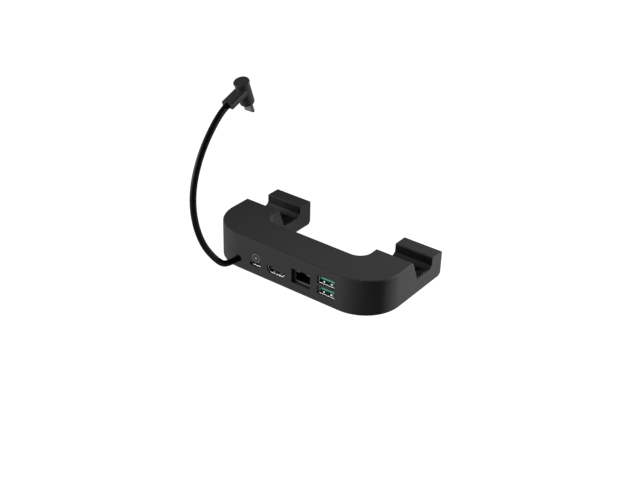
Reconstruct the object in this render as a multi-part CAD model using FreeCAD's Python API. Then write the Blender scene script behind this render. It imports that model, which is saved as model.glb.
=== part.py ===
import FreeCAD, Part
import math
import os
from FreeCAD import Vector

# A dock for a handheld console. The frame has +X along the row of ports, +Y from the port face to the
# hooks and +Z up. Its origin is under the middle of the body, on the surface that the feet stand on.
# All sizes are in millimetres.

# Moulded body, seen from above as a U: a bar with the ports, and two arms that end in hooks
WIDTH = 145.0
DEPTH = 82.0
BODY_HEIGHT = 26.6
BAR_DEPTH = 28.8
ARM_WIDTH = 30.4
CORNER_R = 28.8
INNER_R = 9.5
WALL = 2.4
TOP_EDGE_R = 1.2

# Cradle slot across each arm, and the hook behind it
ARM_TOP_LENGTH = 44.3
SLOT_LEAN = 22.3
SLOT_FLOOR_HEIGHT = 11.0
HOOK_THICKNESS = 12.7
HOOK_HEIGHT = 19.5
SLOT_CURVE_R = 6.0
SLOT_CURVE_DEPTH = 5.0
HOOK_TOP_R = 0.8
HOOK_BACK_R = 1.8
HOOK_FOOT_R = 3.0

# Rubber liner let into each slot's front wall and floor, and the pad let into the hook's face
LINER_THICKNESS = 1.2
LINER_RECESS = 0.8
LINER_SIDE_MARGIN = 1.8
LINER_FRONT_MARGIN = 2.0
LINER_CLEARANCE = 0.1
PAD_SIDE_MARGIN = 3.1
PAD_TOP_MARGIN = 1.1
PAD_FOOT_MARGIN = 0.2

# Bottom cover, let into a rebate in the body's lower edge
COVER_THICKNESS = 2.0
REBATE_WALL = 1.2
COVER_CLEARANCE = 0.15
RIB_HEIGHT = 1.8
RIB_THICKNESS = 1.0

# Rubber feet under the cover
FOOT_PROUD = 0.6
FOOT_RECESS = 0.4
FOOT_CLEARANCE = 0.1
FRONT_FOOT_LENGTH = 26.0
REAR_FOOT_LENGTH = 18.0
FOOT_WIDTH = 7.0
FRONT_FOOT_X = 34.0
FRONT_FOOT_INSET = 9.0
REAR_FOOT_INSET = 22.0

# Screws that hold the cover to the body's bosses
COVER_SCREW_D = 2.5
COVER_SCREW_LENGTH = 7.0
SCREW_HEAD_D = 4.6
SCREW_HEAD_HEIGHT = 1.2
DRIVE_D = 2.2
DRIVE_SLOT = 0.5
DRIVE_DEPTH = 0.7
SCREW_CLEARANCE = 0.2
PILOT_CLEARANCE = 0.03
BOSS_D = 6.4
FRONT_BOSS_X = 56.0
FRONT_BOSS_INSET = 17.5
MIDDLE_BOSS_INSET = 41.0
REAR_BOSS_INSET = 12.0

# Mainboard on the cover's posts
BOARD_TOP_HEIGHT = 6.5
BOARD_THICKNESS = 1.6
BOARD_LENGTH = 96.0
BOARD_CLEARANCE = 0.7
BOARD_NOTCH_LENGTH = 12.5
BOARD_NOTCH_DEPTH = 9.0
POST_D = 5.0
POST_X = 44.0
POST_INSET = 22.0
FRONT_POST_INSET = 6.5
FRONT_POST_LEFT_X = -20.2
FRONT_POST_RIGHT_X = 44.5
BOARD_SCREW_D = 2.0
BOARD_SCREW_LENGTH = 5.0
BOARD_HEAD_D = 3.6
BOARD_HEAD_HEIGHT = 1.2

# Ports, by the X of their middles, with the gap left round each in its hole and the share of a socket's
# depth that is filled by the block at its back
POWER_X = -27.7
VIDEO_X = -9.6
NETWORK_X = 11.9
DATA_X = 32.9
PORT_CLEARANCE = 0.25
BLOCK_SHARE = 0.28

# Power socket: a steel shell with rounded ends round a thin tongue
POWER_WIDTH = 8.94
POWER_HEIGHT = 3.2
POWER_DEPTH = 7.4
POWER_SETBACK = 1.6
POWER_SHELL = 0.3
POWER_TONGUE_WIDTH = 6.7
POWER_TONGUE_THICKNESS = 0.7
POWER_TONGUE_SETBACK = 0.9

# Video socket: its lower corners are cut off at a slant
VIDEO_WIDTH = 14.8
VIDEO_HEIGHT = 5.4
VIDEO_FOOT_WIDTH = 10.8
VIDEO_SIDE_HEIGHT = 3.0
VIDEO_DEPTH = 11.4
VIDEO_SETBACK = 1.0
VIDEO_SHELL = 0.35
VIDEO_TONGUE_WIDTH = 11.2
VIDEO_TONGUE_THICKNESS = 1.5
VIDEO_TONGUE_HEIGHT = 3.1
VIDEO_TONGUE_SETBACK = 0.9

# Network jack, with its latch notch at the top
JACK_WIDTH = 15.4
JACK_HEIGHT = 10.7
JACK_DEPTH = 16.5
JACK_SETBACK = 2.8
JACK_MOUTH_WIDTH = 11.7
JACK_MOUTH_HEIGHT = 6.4
JACK_FLOOR = 1.3
JACK_CAVITY_DEPTH = 13.0
LATCH_WIDTH = 6.0
LATCH_HEIGHT = 1.6
JACK_CONTACT_COUNT = 8
JACK_CONTACT_PITCH = 1.02
JACK_CONTACT_WIDTH = 0.4
JACK_CONTACT_THICKNESS = 0.35
JACK_CONTACT_RISE = 2.0
JACK_CONTACT_RUN = 7.0
JACK_CONTACT_START = 1.5

# Two data sockets stacked in one steel shell, their sleeves reaching into windows in the wall
DATA_SETBACK = 1.3
STACK_WIDTH = 14.4
STACK_DEPTH = 16.0
STACK_SHELL = 0.35
DATA_MOUTH_WIDTH = 12.6
DATA_MOUTH_HEIGHT = 5.1
DATA_PITCH = 8.1
DATA_SLEEVE_DEPTH = 12.0
DATA_TONGUE_WIDTH = 11.1
DATA_TONGUE_THICKNESS = 1.8
DATA_TONGUE_DROP = 0.8
DATA_TONGUE_SETBACK = 0.4
DATA_CONTACT_COUNT = 4
DATA_CONTACT_PITCH = 2.4
DATA_CONTACT_WIDTH = 1.1
DATA_CONTACT_THICKNESS = 0.2
DATA_CONTACT_LENGTH = 7.0
DATA_SIDE_GAP = 0.5
DATA_LEVEL_GAP = 0.1

# Spring tabs pressed out of the shells' floors
TAB_WIDTH = 1.6
TAB_LENGTH = 4.0
TAB_RISE = 0.7
TAB_START = 0.4
TAB_PEAK = 0.3

# Chips and coil on the board, their middles in one row behind the port face. A square chip is given by
# the X of its middle, its side and its height.
CHIP_ROW_INSET = 19.0
POWER_CHIP = (-30.5, 5.0, 0.9)
HUB_CHIP = (-12.5, 8.0, 1.0)
VIDEO_CHIP = (-2.5, 7.0, 0.9)
COIL_X = -36.8
COIL_SIZE = 6.0
COIL_HEIGHT = 3.0
MEMORY_CHIP_X = -20.9
MEMORY_CHIP_LENGTH = 4.0
MEMORY_CHIP_WIDTH = 5.0
MEMORY_CHIP_HEIGHT = 1.5

# Captive lead, its grommet in the port wall and the wires from it to the board. A bend's share is the
# part of the shorter run beside it that its arc takes up.
LEAD_D = 4.5
GROMMET_NECK_D = 5.4
GROMMET_FLANGE_D = 7.6
GROMMET_FLANGE_THICKNESS = 1.6
GROMMET_TAIL_D = 5.0
GROMMET_TAIL_LENGTH = 3.2
GROMMET_CLEARANCE = 0.1
KEEPER_THICKNESS = 1.4
WIRE_D = 0.8
WIRE_COUNT = 4
WIRE_PITCH = 1.0
WIRE_LANDING = 4.0
WIRE_BEND_SHARE = 0.3
LEAD_BEND_SHARE = 0.45
LEAD_ROUTE = [
    (-42.8, -41.0, 8.2),
    (-42.8, -50.4, 8.2),
    (-42.6, -61.1, 12.9),
    (-42.1, -80.7, 39.2),
    (-47.6, -82.0, 67.0),
    (-48.9, -72.5, 94.7),
    (-51.5, -49.2, 117.4),
    (-51.5, -40.0, 120.8),
]

# Angled plug on the lead's far end. The barrel's length takes in the cap on its top.
BARREL_D = 10.2
BARREL_LENGTH = 18.2
BARREL_EDGE_R = 1.0
CAP_D = 11.1
CAP_THICKNESS = 1.5
CAP_EDGE_R = 0.5
BOOT_REACH = 17.2
BOOT_HEIGHT_ON_BARREL = 11.3
BOOT_WIDTH = 9.6
BOOT_THICKNESS = 5.0
BOOT_EDGE_R = 1.8
TIP_WIDTH = 8.25
TIP_THICKNESS = 2.4
TIP_LENGTH = 6.65
TIP_WALL = 0.25
TIP_TONGUE_DEPTH = 2.0

# Places worked out from the sizes above
FRONT_Y = -DEPTH / 2
BACK_Y = DEPTH / 2
BASE_Z = FOOT_PROUD
TOP_Z = BASE_Z + BODY_HEIGHT
COVER_TOP_Z = BASE_Z + COVER_THICKNESS
BOARD_TOP_Z = BASE_Z + BOARD_TOP_HEIGHT
BOARD_BOTTOM_Z = BOARD_TOP_Z - BOARD_THICKNESS
ARM_MIDDLE_X = (WIDTH - ARM_WIDTH) / 2
BAR_INNER_Y = FRONT_Y + BAR_DEPTH
SLOT_FRONT_Y = FRONT_Y + ARM_TOP_LENGTH
SLOT_FLOOR_Z = BASE_Z + SLOT_FLOOR_HEIGHT
HOOK_FACE_Y = BACK_Y - HOOK_THICKNESS
HOOK_TOP_Z = BASE_Z + HOOK_HEIGHT
CURVE_FOOT_Y = HOOK_FACE_Y - SLOT_CURVE_DEPTH
CURVE_RISE = SLOT_CURVE_R - math.sqrt(SLOT_CURVE_R ** 2 - SLOT_CURVE_DEPTH ** 2)
DATA_LOW_Z = BOARD_TOP_Z + STACK_SHELL + DATA_MOUTH_HEIGHT / 2
STACK_FACE_Y = FRONT_Y + WALL + PORT_CLEARANCE
JACK_FACE_Y = FRONT_Y + JACK_SETBACK
DATA_FACE_Y = FRONT_Y + DATA_SETBACK
DATA_SLEEVE_WIDTH = DATA_MOUTH_WIDTH + 2 * STACK_SHELL
DATA_SLEEVE_HEIGHT = DATA_MOUTH_HEIGHT + 2 * STACK_SHELL
LEAD_X = LEAD_ROUTE[0][0]
LEAD_Z = LEAD_ROUTE[0][2]
FLANGE_Y = FRONT_Y + WALL
KEEPER_Y = FLANGE_Y + GROMMET_FLANGE_THICKNESS + GROMMET_CLEARANCE
TAIL_END_Y = FLANGE_Y + GROMMET_FLANGE_THICKNESS + GROMMET_TAIL_LENGTH
BOSS_PLACES = [
    (side * x, y)
    for x, y in [
        (FRONT_BOSS_X, FRONT_Y + FRONT_BOSS_INSET),
        (ARM_MIDDLE_X, FRONT_Y + MIDDLE_BOSS_INSET),
        (ARM_MIDDLE_X, BACK_Y - REAR_BOSS_INSET),
    ]
    for side in (-1, 1)
]
POST_PLACES = [
    (-POST_X, FRONT_Y + POST_INSET),
    (POST_X, FRONT_Y + POST_INSET),
    (FRONT_POST_LEFT_X, FRONT_Y + FRONT_POST_INSET),
    (FRONT_POST_RIGHT_X, FRONT_Y + FRONT_POST_INSET),
]


def box(x0, x1, y0, y1, z0, z1):
    """A block between two corners."""
    return Part.makeBox(x1 - x0, y1 - y0, z1 - z0, Vector(x0, y0, z0))


def rod(diameter, height, x, y, z):
    """An upright round bar that stands on z."""
    return Part.makeCylinder(diameter / 2, height, Vector(x, y, z))


def prism(points, way):
    """A flat outline through the points, pushed along a vector."""
    outline = Part.makePolygon([Vector(*p) for p in points + points[:1]])
    return Part.Face(outline).extrude(way)


def arc(centre, radius, start, end):
    """An arc in plan about a centre, between two angles in degrees, the short way from start to end."""
    def at(angle):
        turn = math.radians(angle)
        return Vector(centre[0] + radius * math.cos(turn), centre[1] + radius * math.sin(turn), 0)
    return Part.Arc(at(start), at((start + end) / 2), at(end)).toShape()


def body_plan(inset, back_inset):
    """The U of the body in plan, drawn in by the inset, and at the back of the hooks by its own."""
    half = WIDTH / 2 - inset
    inner = WIDTH / 2 - ARM_WIDTH + inset
    corner = CORNER_R - inset
    hollow = INNER_R + inset
    front = FRONT_Y + inset
    bar = BAR_INNER_Y - inset
    back = BACK_Y - back_inset
    right = arc((half - corner, front + corner), corner, -90, 0)
    left = arc((corner - half, front + corner), corner, 180, 270)
    hollow_right = arc((inner - hollow, bar + hollow), hollow, 0, -90)
    hollow_left = arc((hollow - inner, bar + hollow), hollow, 270, 180)
    points = [(half, back), (inner, back), (-inner, back), (-half, back)]
    corners = [Vector(x, y, 0) for x, y in points]
    edges = [
        right,
        Part.makeLine(right.lastVertex().Point, corners[0]),
        Part.makeLine(corners[0], corners[1]),
        Part.makeLine(corners[1], hollow_right.firstVertex().Point),
        hollow_right,
        Part.makeLine(hollow_right.lastVertex().Point, hollow_left.firstVertex().Point),
        hollow_left,
        Part.makeLine(hollow_left.lastVertex().Point, corners[2]),
        Part.makeLine(corners[2], corners[3]),
        Part.makeLine(corners[3], left.firstVertex().Point),
        left,
        Part.makeLine(left.lastVertex().Point, right.firstVertex().Point),
    ]
    return Part.Face(Part.Wire(edges))


def slab(plan, z0, z1):
    """A plan face made into a plate between two heights."""
    plate = plan.extrude(Vector(0, 0, z1 - z0))
    plate.translate(Vector(0, 0, z0))
    return plate


def slot_space(grow, x0, x1, top):
    """The air of the cradle slot between two X places, grown into the plastic.

    Its floor curves up towards the hook and meets the hook's upright face at a crease.
    """
    lean = math.radians(SLOT_LEAN)

    def front_at(z):
        return SLOT_FRONT_Y + (TOP_Z - z) * math.tan(lean) - grow / math.cos(lean)

    floor = SLOT_FLOOR_Z - grow
    face = HOOK_FACE_Y + grow
    radius = SLOT_CURVE_R + grow

    def on_curve(turn):
        return Vector(x0, CURVE_FOOT_Y + radius * math.sin(turn), floor + radius * (1 - math.cos(turn)))

    crease = math.asin((face - CURVE_FOOT_Y) / radius)
    a = Vector(x0, front_at(top), top)
    b = Vector(x0, front_at(floor), floor)
    c, middle, d = on_curve(0.0), on_curve(crease / 2), on_curve(crease)
    e = Vector(x0, face, top)
    bend = Part.Arc(c, middle, d).toShape()
    lines = [Part.makeLine(p, q) for p, q in [(a, b), (b, c)]]
    ends = [Part.makeLine(p, q) for p, q in [(d, e), (e, a)]]
    return Part.Face(Part.Wire(lines + [bend] + ends)).extrude(Vector(x1 - x0, 0, 0))


def body_form(inset, z0):
    """The body's outer form, or with an inset the hollow inside it, from z0 up."""
    reach = WIDTH / 2 + 1
    above = TOP_Z + 1
    form = slab(body_plan(inset, inset), z0, TOP_Z - inset)
    form = form.cut(slot_space(inset, -reach, reach, above))
    over_hook = box(-reach, reach, HOOK_FACE_Y + inset - 1, BACK_Y + 1, HOOK_TOP_Z - inset, above)
    return form.cut(over_hook)


def edges_where(shape, test):
    """The edges of a shape whose middle point and two ends pass a test."""
    found = []
    for edge in shape.Edges:
        middle = edge.valueAt((edge.FirstParameter + edge.LastParameter) / 2)
        ends = [v.Point for v in edge.Vertexes]
        if test(middle, ends[0], ends[-1]):
            found.append(edge)
    return found


def near(a, b):
    return abs(a - b) < 1e-4


def rounded_body():
    """The outer form with the edges that a hand or the light meets rounded."""
    form = body_form(0.0, BASE_Z)

    def across(y, z):
        def test(m, p, q):
            flat = near(m.y, y) and near(m.z, z) and near(p.y, q.y)
            return flat and near(p.z, q.z)
        return test

    form = form.makeFillet(HOOK_FOOT_R, edges_where(form, across(BACK_Y, BASE_Z)))
    form = form.makeFillet(HOOK_BACK_R, edges_where(form, across(BACK_Y, HOOK_TOP_Z)))
    form = form.makeFillet(HOOK_TOP_R, edges_where(form, across(HOOK_FACE_Y, HOOK_TOP_Z)))

    def rim(m, p, q):
        level = near(m.z, TOP_Z) and near(p.z, TOP_Z) and near(q.z, TOP_Z)
        slot_end = near(p.y, SLOT_FRONT_Y) and near(q.y, SLOT_FRONT_Y)
        return level and not slot_end

    return form.makeFillet(TOP_EDGE_R, edges_where(form, rim))


def stadium(width, height, x, y, z, depth):
    """A bar along +Y whose section is a rectangle with half-round ends, middle at x and z."""
    radius = height / 2
    flat = box(x - width / 2 + radius, x + width / 2 - radius, y, y + depth, z - radius, z + radius)
    ends = [
        Part.makeCylinder(radius, depth, Vector(x + s * (width / 2 - radius), y, z), Vector(0, 1, 0))
        for s in (-1, 1)
    ]
    return flat.fuse(ends).removeSplitter()


def video_bar(grow, y, depth):
    """A bar along +Y with the video socket's section, every side of it moved out by the same amount."""
    side, foot = VIDEO_WIDTH / 2, VIDEO_FOOT_WIDTH / 2
    knee = VIDEO_HEIGHT - VIDEO_SIDE_HEIGHT
    slant = math.hypot(side - foot, knee)
    foot_grow = grow * (slant - side + foot) / knee
    knee_grow = grow * (slant - knee) / (side - foot)
    right = [(foot + foot_grow, -grow), (side + grow, knee - knee_grow), (side + grow, VIDEO_HEIGHT + grow)]
    left = [(-x, z) for x, z in reversed(right)]
    return prism([(VIDEO_X + x, y, BOARD_TOP_Z + z) for x, z in right + left], Vector(0, depth, 0))


def port_cuts():
    """What is cut from the port wall: one hole for each mouth and one for the lead."""
    y, through = FRONT_Y - 1, WALL + 2
    gap = PORT_CLEARANCE
    power_z = BOARD_TOP_Z + POWER_HEIGHT / 2
    cuts = [
        stadium(POWER_WIDTH + 2 * gap, POWER_HEIGHT + 2 * gap, POWER_X, y, power_z, through),
        video_bar(gap, y, through),
        box(NETWORK_X - JACK_WIDTH / 2 - gap, NETWORK_X + JACK_WIDTH / 2 + gap, y, y + through,
            BOARD_TOP_Z - gap, BOARD_TOP_Z + JACK_HEIGHT + gap),
        Part.makeCylinder(GROMMET_NECK_D / 2, KEEPER_Y - y, Vector(LEAD_X, y, LEAD_Z), Vector(0, 1, 0)),
    ]
    for level in (0, 1):
        z = data_level(level)
        wide = DATA_SLEEVE_WIDTH / 2 + DATA_SIDE_GAP
        tall = DATA_SLEEVE_HEIGHT / 2 + DATA_LEVEL_GAP
        cuts.append(box(DATA_X - wide, DATA_X + wide, y, y + through, z - tall, z + tall))
    return cuts


def arm_span(side, margin):
    """The two X places of an arm's sides, drawn in by a margin."""
    a = side * (WIDTH / 2 - margin)
    b = side * (WIDTH / 2 - ARM_WIDTH + margin)
    return min(a, b), max(a, b)


def liner_limit(x0, x1, drop):
    """The space in front of the slot's curve, below the height that the liner reaches."""
    return box(x0, x1, FRONT_Y, CURVE_FOOT_Y - drop, BASE_Z, TOP_Z - LINER_FRONT_MARGIN - drop)


def liner_recess(side):
    x0, x1 = arm_span(side, LINER_SIDE_MARGIN)
    space = slot_space(LINER_RECESS, x0, x1, TOP_Z)
    return space.common(liner_limit(x0, x1, 0.0))


def cradle_liner(side):
    """A strip of rubber that lines one slot: down its front wall and over its floor."""
    x0, x1 = arm_span(side, LINER_SIDE_MARGIN + LINER_CLEARANCE)
    outer = slot_space(LINER_RECESS, x0, x1, TOP_Z)
    inner = slot_space(LINER_RECESS - LINER_THICKNESS, x0 - 1, x1 + 1, TOP_Z + 1)
    return outer.cut(inner).common(liner_limit(x0, x1, LINER_CLEARANCE))


def hook_pad(side, gap, thickness):
    """A flat block on one hook's face, its back on the recess's floor, drawn in by the gap."""
    x0, x1 = arm_span(side, PAD_SIDE_MARGIN + gap)
    back = HOOK_FACE_Y + LINER_RECESS
    foot = SLOT_FLOOR_Z + CURVE_RISE + PAD_FOOT_MARGIN + gap
    return box(x0, x1, back - thickness, back, foot, HOOK_TOP_Z - PAD_TOP_MARGIN - gap)


def upper_housing():
    """The moulded shell, open at the bottom, with the port holes and the screw bosses."""
    hollow = body_form(WALL, COVER_TOP_Z)
    rebate_plan = body_plan(REBATE_WALL, HOOK_FOOT_R + REBATE_WALL)
    rebate = slab(rebate_plan, BASE_Z - 1, COVER_TOP_Z)
    shell = rounded_body().cut(hollow).cut(rebate)
    bosses = [rod(BOSS_D, TOP_Z - COVER_TOP_Z, x, y, COVER_TOP_Z).common(hollow) for x, y in BOSS_PLACES]
    pilot_d = COVER_SCREW_D + 2 * PILOT_CLEARANCE
    depth = COVER_SCREW_LENGTH - (COVER_THICKNESS - SCREW_HEAD_HEIGHT) + PILOT_CLEARANCE
    pilots = [rod(pilot_d, depth, x, y, COVER_TOP_Z) for x, y in BOSS_PLACES]
    recesses = [liner_recess(side) for side in (-1, 1)]
    recesses += [hook_pad(side, 0.0, LINER_RECESS) for side in (-1, 1)]
    return shell.fuse(bosses).cut(pilots + recesses + port_cuts())


def foot_places():
    """Each foot's name, middle, length along X and length along Y."""
    front = FRONT_Y + FRONT_FOOT_INSET
    rear = BACK_Y - REAR_FOOT_INSET
    places = []
    for name, side in (("left", -1), ("right", 1)):
        places.append(("foot_front_" + name, side * FRONT_FOOT_X, front, FRONT_FOOT_LENGTH))
        places.append(("foot_rear_" + name, side * ARM_MIDDLE_X, rear, REAR_FOOT_LENGTH))
    return places


def foot_pad(x, y, length, width, z0, z1):
    """A flat pad with half-round ends, long along X."""
    radius = width / 2
    pad = box(x - length / 2 + radius, x + length / 2 - radius, y - radius, y + radius, z0, z1)
    ends = [rod(width, z1 - z0, x + s * (length / 2 - radius), y, z0) for s in (-1, 1)]
    return pad.fuse(ends).removeSplitter()


def feet():
    named = {}
    for name, x, y, length in foot_places():
        named[name] = foot_pad(x, y, length, FOOT_WIDTH, 0.0, FOOT_PROUD + FOOT_RECESS)
    return named


def locating_rib():
    """A low wall on the cover that fits inside the shell and lines the two up."""
    outer_inset = WALL + COVER_CLEARANCE
    inner_inset = outer_inset + RIB_THICKNESS
    back = HOOK_FOOT_R + REBATE_WALL + RIB_THICKNESS + COVER_CLEARANCE
    outer = slab(body_plan(outer_inset, back), COVER_TOP_Z, COVER_TOP_Z + RIB_HEIGHT)
    inner = slab(body_plan(inner_inset, back + RIB_THICKNESS), COVER_TOP_Z, COVER_TOP_Z + RIB_HEIGHT)
    return outer.cut(inner)


def grommet_keeper():
    """An upright fork on the cover that stops the lead's grommet from being pushed in."""
    wide = GROMMET_FLANGE_D / 2
    plate = box(LEAD_X - wide, LEAD_X + wide, KEEPER_Y, KEEPER_Y + KEEPER_THICKNESS,
                COVER_TOP_Z, LEAD_Z + GROMMET_TAIL_D / 2)
    notch_d = GROMMET_TAIL_D + 2 * GROMMET_CLEARANCE
    notch = box(LEAD_X - notch_d / 2, LEAD_X + notch_d / 2, KEEPER_Y, KEEPER_Y + KEEPER_THICKNESS,
                LEAD_Z, LEAD_Z + GROMMET_FLANGE_D)
    way = Vector(0, 1, 0)
    round_end = Part.makeCylinder(notch_d / 2, KEEPER_THICKNESS, Vector(LEAD_X, KEEPER_Y, LEAD_Z), way)
    return plate.cut(notch.fuse(round_end))


def bottom_cover():
    """The flat cover with its rib, the posts under the mainboard, screw holes and foot recesses."""
    inset = REBATE_WALL + COVER_CLEARANCE
    plate = slab(body_plan(inset, HOOK_FOOT_R + inset), BASE_Z, COVER_TOP_Z)
    posts = [rod(POST_D, BOARD_BOTTOM_Z - COVER_TOP_Z, x, y, COVER_TOP_Z) for x, y in POST_PLACES]
    cover = plate.fuse([locating_rib(), grommet_keeper()] + posts)
    head_d = SCREW_HEAD_D + 2 * SCREW_CLEARANCE
    cuts = []
    for x, y in BOSS_PLACES:
        cuts.append(rod(COVER_SCREW_D + 2 * SCREW_CLEARANCE, COVER_THICKNESS + 2, x, y, BASE_Z - 1))
        cuts.append(rod(head_d, SCREW_HEAD_HEIGHT + 1, x, y, BASE_Z - 1))
    grip = BOARD_SCREW_LENGTH - BOARD_THICKNESS + PILOT_CLEARANCE
    for x, y in POST_PLACES:
        cuts.append(rod(BOARD_SCREW_D + 2 * PILOT_CLEARANCE, grip, x, y, BOARD_BOTTOM_Z - grip))
    gap = 2 * FOOT_CLEARANCE
    for _, x, y, length in foot_places():
        cuts.append(foot_pad(x, y, length + gap, FOOT_WIDTH + gap, BASE_Z - 1, BASE_Z + FOOT_RECESS))
    flange_room_d = GROMMET_FLANGE_D + 2 * GROMMET_CLEARANCE
    cuts.append(Part.makeCylinder(flange_room_d / 2, KEEPER_Y - FRONT_Y, Vector(LEAD_X, FRONT_Y, LEAD_Z),
                                  Vector(0, 1, 0)))
    return cover.cut(cuts)


def drive_cross(x, y, z, up):
    """The cross-shaped drive recess in a screw's head, cut from z in the given direction."""
    z0 = min(z, z + up * DRIVE_DEPTH)
    z1 = max(z, z + up * DRIVE_DEPTH)
    half, slot = DRIVE_D / 2, DRIVE_SLOT / 2
    return box(x - half, x + half, y - slot, y + slot, z0, z1).fuse(
        box(x - slot, x + slot, y - half, y + half, z0, z1))


def cover_screws():
    """Screws that go up through the cover, their heads in its underside."""
    screws = []
    for x, y in BOSS_PLACES:
        head = rod(SCREW_HEAD_D, SCREW_HEAD_HEIGHT, x, y, BASE_Z)
        shank = rod(COVER_SCREW_D, COVER_SCREW_LENGTH, x, y, BASE_Z + SCREW_HEAD_HEIGHT)
        screws.append(head.fuse(shank).cut(drive_cross(x, y, BASE_Z, 1)))
    return Part.makeCompound(screws)


def board_screws():
    """Screws that go down through the mainboard into the cover's posts."""
    screws = []
    top = BOARD_TOP_Z + BOARD_HEAD_HEIGHT
    for x, y in POST_PLACES:
        head = rod(BOARD_HEAD_D, BOARD_HEAD_HEIGHT, x, y, BOARD_TOP_Z)
        shank = rod(BOARD_SCREW_D, BOARD_SCREW_LENGTH, x, y, BOARD_TOP_Z - BOARD_SCREW_LENGTH)
        screws.append(head.fuse(shank).cut(drive_cross(x, y, top, -1)))
    return Part.makeCompound(screws)


def mainboard():
    """The circuit board, notched where the lead comes in."""
    half = BOARD_LENGTH / 2
    front = FRONT_Y + WALL + BOARD_CLEARANCE
    back = BAR_INNER_Y - WALL - BOARD_CLEARANCE
    board = box(-half, half, front, back, BOARD_BOTTOM_Z, BOARD_TOP_Z)
    notch = box(-half, -half + BOARD_NOTCH_LENGTH, front, front + BOARD_NOTCH_DEPTH,
                BOARD_BOTTOM_Z, BOARD_TOP_Z)
    hole_d = BOARD_SCREW_D + 2 * SCREW_CLEARANCE
    holes = [rod(hole_d, BOARD_THICKNESS, x, y, BOARD_BOTTOM_Z) for x, y in POST_PLACES]
    return board.cut([notch] + holes)


def spring_tab(x, y, z):
    """A tab pressed up out of a socket's floor, highest near the mouth."""
    side = [(y, z), (y + TAB_LENGTH, z), (y + TAB_LENGTH * TAB_PEAK, z + TAB_RISE)]
    return prism([(x - TAB_WIDTH / 2, a, b) for a, b in side], Vector(TAB_WIDTH, 0, 0))


def power_socket():
    """The power socket's shell, and its tongue with the block that closes the shell's back."""
    z = BOARD_TOP_Z + POWER_HEIGHT / 2
    y = FRONT_Y + POWER_SETBACK
    inner_width = POWER_WIDTH - 2 * POWER_SHELL
    inner_height = POWER_HEIGHT - 2 * POWER_SHELL
    outer = stadium(POWER_WIDTH, POWER_HEIGHT, POWER_X, y, z, POWER_DEPTH)
    shell = outer.cut(stadium(inner_width, inner_height, POWER_X, y, z, POWER_DEPTH))
    block_depth = POWER_DEPTH * BLOCK_SHARE
    block_y = y + POWER_DEPTH - block_depth
    block = stadium(inner_width, inner_height, POWER_X, block_y, z, block_depth)
    half, thick = POWER_TONGUE_WIDTH / 2, POWER_TONGUE_THICKNESS / 2
    tongue = box(POWER_X - half, POWER_X + half, y + POWER_TONGUE_SETBACK, block_y, z - thick, z + thick)
    return shell, tongue.fuse(block)


def video_socket():
    """The video socket's shell with its two spring tabs, and its tongue on a block at the back."""
    y = FRONT_Y + VIDEO_SETBACK
    shell = video_bar(0, y, VIDEO_DEPTH).cut(video_bar(-VIDEO_SHELL, y, VIDEO_DEPTH))
    floor = BOARD_TOP_Z + VIDEO_SHELL
    tabs = [spring_tab(VIDEO_X + s * VIDEO_FOOT_WIDTH / 4, y + TAB_START, floor) for s in (-1, 1)]
    block_depth = VIDEO_DEPTH * BLOCK_SHARE
    block_y = y + VIDEO_DEPTH - block_depth
    block = video_bar(-VIDEO_SHELL, block_y, block_depth)
    half, thick = VIDEO_TONGUE_WIDTH / 2, VIDEO_TONGUE_THICKNESS / 2
    z = BOARD_TOP_Z + VIDEO_TONGUE_HEIGHT
    tongue = box(VIDEO_X - half, VIDEO_X + half, y + VIDEO_TONGUE_SETBACK, block_y, z - thick, z + thick)
    return shell.fuse(tabs), tongue.fuse(block)


def network_jack():
    """The jack's moulded body, with its stepped mouth, and the spring wires that rise from its floor."""
    y, z = JACK_FACE_Y, BOARD_TOP_Z
    floor = z + JACK_FLOOR
    ceiling = floor + JACK_MOUTH_HEIGHT

    def block(width, depth, low, high):
        return box(NETWORK_X - width / 2, NETWORK_X + width / 2, y, y + depth, low, high)

    body = block(JACK_WIDTH, JACK_DEPTH, z, z + JACK_HEIGHT)
    mouth = block(JACK_MOUTH_WIDTH, JACK_CAVITY_DEPTH, floor, ceiling)
    notch = block(LATCH_WIDTH, JACK_CAVITY_DEPTH, ceiling, ceiling + LATCH_HEIGHT)
    wires = []
    start = y + JACK_CONTACT_START
    thick = JACK_CONTACT_THICKNESS
    end = start + JACK_CONTACT_RUN
    top = floor + JACK_CONTACT_RISE
    side = [(start, floor), (start + 2 * thick, floor), (end, top - thick), (end, top)]
    for i in range(JACK_CONTACT_COUNT):
        offset = (i - (JACK_CONTACT_COUNT - 1) / 2) * JACK_CONTACT_PITCH
        x = NETWORK_X + offset - JACK_CONTACT_WIDTH / 2
        wires.append(prism([(x, a, b) for a, b in side], Vector(JACK_CONTACT_WIDTH, 0, 0)))
    return body.cut([mouth, notch]), Part.makeCompound(wires)


def data_level(level):
    return DATA_LOW_Z + level * DATA_PITCH


def data_block(level, y, depth, wide, tall):
    """A block centred on one data socket's mouth."""
    z = data_level(level)
    return box(DATA_X - wide / 2, DATA_X + wide / 2, y, y + depth, z - tall / 2, z + tall / 2)


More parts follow.
